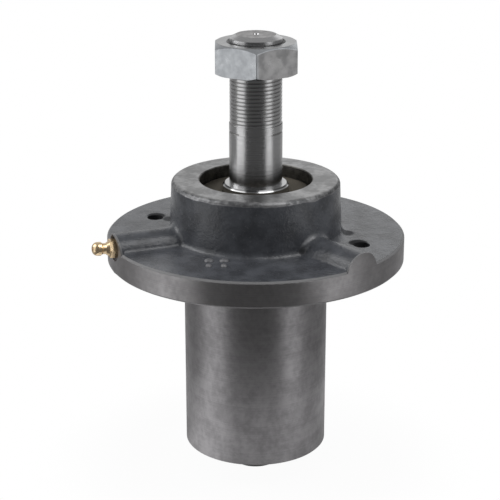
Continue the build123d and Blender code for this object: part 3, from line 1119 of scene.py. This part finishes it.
@dataclass(frozen=True)
class Lamp:
    """One soft box: a panel that stands upright and faces the axis, or tilts down at the object."""

    name: str
    place: Place
    width: float
    height: float
    glow: float
    upright: bool = True

    def build(self) -> None:
        """Hangs the soft box. Its panel looks as bright as its glow, where 1 is white."""
        data = bpy.data.lights.new(self.name, "AREA")
        data.shape = "RECTANGLE"
        data.size = self.width
        data.size_y = self.height
        data.energy = self.glow * math.pi * self.width * self.height
        lamp = bpy.data.objects.new(self.name, data)
        lamp.location = self.place
        aim = Vector((-self.place[0], -self.place[1], 0 if self.upright else -self.place[2]))
        lamp.rotation_euler = aim.to_track_quat("-Z", "Y").to_euler()
        bpy.context.scene.collection.objects.link(lamp)


@dataclass
class Studio:
    """White table, white wall behind, soft boxes on both sides and the camera.

    Lengths are in metres, and the turns of the room's light are parts of a direction from -1 to 1.
    """

    floor_height: float = -0.1091
    floor_radius: float = 0.13
    floor_sides: int = 96
    table_tone: Colour = (0.8, 0.8, 0.8)
    shadow_radius: float = 0.06
    shadow_end: float = 0.117
    shadow_share: float = 0.04
    far_share: float = 0.36
    pool_edge: Span = (0.72, 0.95)
    pool_shares: Span = (1.0, 0.2)
    camera_place: Place = (0.0, -0.70366, 0.24883)
    camera_pitch: float = 19.269
    camera_yaw: float = 0.2255
    lens: float = 110.04
    sensor: float = 36.0
    front_light: float = 0.085
    side_light: float = 0.26
    side_turn: Span = (-0.6, 0.1)
    back_light: float = 0.45
    back_turn: Span = (0.5, 0.9)
    front_top_light: float = 0.12
    back_top_light: float = 0.38
    back_top_turn: Span = (-0.4, 0.4)
    ceiling_turn: Span = (0.3, 0.9)
    wall_lights: Span = (0.68, 0.92)
    wall_turn: Span = (-0.15, 0.12)
    wall_edge: Span = (0.6, 0.9)
    wall_foot: Span = (-0.05, 0.15)
    lamps: tuple[Lamp, ...] = (
        Lamp("left_soft_box", (-0.79, -0.31, 0.25), 0.62, 1.6, 0.87),
        Lamp("right_soft_box", (0.735, -0.43, 0.25), 0.44, 1.6, 0.84),
        Lamp("left_middle_box", (-0.835, 0.147, 0.53), 0.42, 0.56, 3.0, upright=False),
        Lamp("left_upper_box", (-0.716, -0.075, 0.958), 0.55, 0.55, 1.6, upright=False),
        Lamp("right_upper_box", (0.53, -0.282, 1.04), 0.70, 0.70, 3.0, upright=False),
    )

    @staticmethod
    def rays(graph: Graph) -> tuple[Value, Value]:
        """Tells the camera's own rays, and those that a surface mirrors or bends."""
        path = graph.add("ShaderNodeLightPath").outputs
        return path["Is Camera Ray"], graph.most(path["Is Glossy Ray"], path["Is Transmission Ray"])

    def table_white(self, graph: Graph) -> Value:
        """Finds the table's plain white: nearly all for the camera, and in gloss painted pools of light
        towards the first two lamps.

        Args:
            graph: The table's graph.

        Returns:
            The share of plain white.
        """
        radius = graph.effect(Effects.round_place())["Radius"]
        far = graph.step(radius, self.shadow_radius / MM, self.shadow_end / MM)
        bearing = graph.add("ShaderNodeVectorMath", {0: graph.flat()}, operation="NORMALIZE").outputs[0]
        pools = []
        # Painted light: in gloss the table glows white in pools towards the first two lamps
        for lamp, share in zip(self.lamps, self.pool_shares):
            towards = Vector((lamp.place[0], lamp.place[1], 0)).normalized()
            pool = graph.step(graph.along(bearing, towards), *self.pool_edge)
            pools.append(graph.times(pool, share))
        camera, mirrored = self.rays(graph)
        direct = graph.times(camera, graph.between(far, 1 - self.shadow_share, 1.0))
        seen = graph.times(mirrored, graph.most(graph.times(far, self.far_share), *pools))
        return graph.most(direct, seen)

    def floor(self) -> None:
        """Lays the white table top, which keeps a soft shadow near the object and is clear from below."""
        Bench.clear()
        bpy.ops.mesh.primitive_circle_add(
            vertices=self.floor_sides,
            radius=self.floor_radius,
            fill_type="NGON",
            location=(0, 0, self.floor_height),
        )
        floor = bpy.context.object
        floor.name = "table_top"
        bpy.ops.object.transform_apply(location=True, rotation=True, scale=True)
        material = bpy.data.materials.new("white_table")
        material.use_nodes = True
        graph = Graph(material.node_tree)
        material.node_tree.nodes.remove(material.node_tree.nodes["Principled BSDF"])
        white = self.table_white(graph)
        matt = graph.add("ShaderNodeBsdfDiffuse", {"Color": rgba(self.table_tone)})
        glow = graph.add("ShaderNodeEmission", {"Color": WHITE, "Strength": 1.0})
        table = graph.add("ShaderNodeMixShader", {0: white, 1: matt.outputs[0], 2: glow.outputs[0]})
        below = graph.add("ShaderNodeNewGeometry").outputs["Backfacing"]
        clear = graph.add("ShaderNodeBsdfTransparent")
        mixed = graph.add("ShaderNodeMixShader", {0: below, 1: table.outputs[0], 2: clear.outputs[0]})
        output = material.node_tree.nodes["Material Output"]
        graph.tree.links.new(mixed.outputs[0], output.inputs["Surface"])
        floor.data.materials.append(material)

    def backdrop(self) -> None:
        """Makes the world: white for the camera, a white wall behind in gloss, and a dim room all round."""
        world = bpy.data.worlds.new("studio")
        bpy.context.scene.world = world
        world.use_nodes = True
        graph = Graph(world.node_tree)
        camera, mirrored = self.rays(graph)
        generated = graph.add("ShaderNodeTexCoord").outputs["Generated"]
        across, away, up = graph.add("ShaderNodeSeparateXYZ", {0: generated}).outputs
        room = graph.between(graph.step(away, *self.side_turn), self.front_light, self.side_light)
        room = graph.between(graph.step(away, *self.back_turn), room, self.back_light)
        back_top = graph.step(away, *self.back_top_turn)
        ceiling = graph.between(back_top, self.front_top_light, self.back_top_light)
        room = graph.between(graph.step(up, *self.ceiling_turn), room, ceiling)
        wall = graph.times(graph.step(away, *self.wall_edge), graph.step(up, *self.wall_foot))
        wall = graph.times(wall, graph.between(graph.step(across, *self.wall_turn), *self.wall_lights))
        room = graph.most(room, graph.times(wall, mirrored))
        background = world.node_tree.nodes["Background"].inputs
        background["Color"].default_value = WHITE
        graph.tree.links.new(graph.between(camera, room, 1.0), background["Strength"])

    def camera(self) -> None:
        """Sets up the camera at the photograph's viewing angle."""
        data = bpy.data.cameras.new("camera")
        data.lens = self.lens
        data.sensor_width = self.sensor
        camera = bpy.data.objects.new("camera", data)
        camera.location = self.camera_place
        camera.rotation_euler = (math.radians(90 - self.camera_pitch), 0, math.radians(self.camera_yaw))
        bpy.context.scene.collection.objects.link(camera)
        bpy.context.scene.camera = camera

    def build(self) -> None:
        """Builds the whole studio."""
        bpy.context.scene.view_settings.view_transform = "Standard"
        self.floor()
        self.backdrop()
        for lamp in self.lamps:
            lamp.build()
        self.camera()
        log.info("studio built")


def main() -> None:
    """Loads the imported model, dresses it and builds the studio round it."""
    logging.basicConfig(level=logging.INFO)
    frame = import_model()
    nodes = frame["nodes"]
    Studio().build()
    Housing(nodes).build()
    Shaft(nodes).build()
    for end in ("upper", "lower"):
        BearingEnd(nodes, end).build()
    slide = next(joint for joint in frame["joints"] if joint["name"] == "check_ball_slide")
    GreaseFitting(nodes, Vector(slide["axis"]), slide["range_m"][1]).build()


if __name__ == "__main__":
    main()
